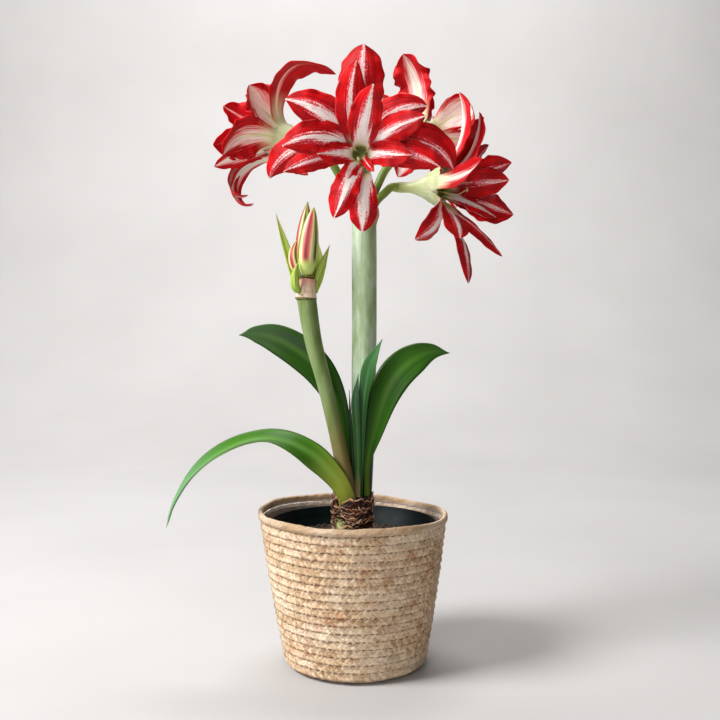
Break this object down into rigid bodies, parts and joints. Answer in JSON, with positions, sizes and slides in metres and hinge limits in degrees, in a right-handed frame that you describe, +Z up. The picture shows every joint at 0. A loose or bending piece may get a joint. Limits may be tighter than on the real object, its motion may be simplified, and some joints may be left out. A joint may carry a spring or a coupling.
{
  "type": "potted amaryllis",
  "caption": "Amaryllis bulb in a round braided straw basket, with a tall scape of striped double flowers, a second scape of buds and strap leaves.",
  "frame": {"origin": "centre of the basket's flat underside, on the surface it stands on", "axes": "+Z up along the basket's axis and the tall scape; -Y towards the front flower, +X to the right as seen from the front"},
  "size_m": [0.3429, 0.2385, 0.5938],
  "materials": {
    "straw_braid": "matte",
    "clear_liner": "gloss",
    "pot_plastic": "satin",
    "potting_soil": "matte",
    "bulb_flesh": "satin",
    "bulb_skin": "matte",
    "scape_green": "satin",
    "leaf_green": "satin",
    "bract_skin": "matte",
    "bud_cream_green": "satin",
    "bud_green": "satin",
    "petal_red_white": "satin",
    "flower_stalk_green": "satin"
  },
  "bodies": {
    "root": {"back_flower_inner_petals": "petal_red_white", "back_flower_petal_bottom": "petal_red_white", "back_flower_petal_lower_left": "petal_red_white", "back_flower_petal_right": "petal_red_white", "back_flower_petal_top": "petal_red_white", "back_flower_petal_upper_left": "petal_red_white", "back_flower_petal_upper_right": "petal_red_white", "back_flower_tube": "flower_stalk_green", "basket": "straw_braid", "basket_liner": "clear_liner", "bud_bract_back": "bud_green", "bud_bract_left": "bud_green", "bud_bract_right": "bud_green", "bud_collar": "bract_skin", "bud_large_back": "bud_cream_green", "bud_large_front": "bud_cream_green", "bud_medium_left": "bud_green", "bud_scape": "scape_green", "bud_small_left": "bud_green", "bulb": "bulb_flesh", "bulb_tunics": "bulb_skin", "front_flower_inner_petals": "petal_red_white", "front_flower_petal_bottom": "petal_red_white", "front_flower_petal_left": "petal_red_white", "front_flower_petal_right": "petal_red_white", "front_flower_petal_top": "petal_red_white", "front_flower_petal_upper_left": "petal_red_white", "front_flower_petal_upper_right": "petal_red_white", "front_flower_tube": "flower_stalk_green", "leaf_arching_left": "leaf_green", "leaf_broad_left": "leaf_green", "leaf_centre_short": "leaf_green", "leaf_centre_slender": "leaf_green", "leaf_centre_tall": "leaf_green", "leaf_right": "leaf_green", "left_flower_inner_petals": "petal_red_white", "left_flower_petal_far": "petal_red_white", "left_flower_petal_lower": "petal_red_white", "left_flower_petal_near": "petal_red_white", "left_flower_petal_top": "petal_red_white", "left_flower_petal_under": "petal_red_white", "left_flower_petal_upper_left": "petal_red_white", "left_flower_tube": "flower_stalk_green", "nursery_pot": "pot_plastic", "right_flower_inner_petals": "petal_red_white", "right_flower_petal_bottom": "petal_red_white", "right_flower_petal_far": "petal_red_white", "right_flower_petal_left_lower": "petal_red_white", "right_flower_petal_lower_right": "petal_red_white", "right_flower_petal_top": "petal_red_white", "right_flower_petal_upper_left": "petal_red_white", "right_flower_tube": "flower_stalk_green", "soil": "potting_soil", "tall_scape": "scape_green", "tall_scape_bract": "bract_skin"}
  },
  "joints": []
}
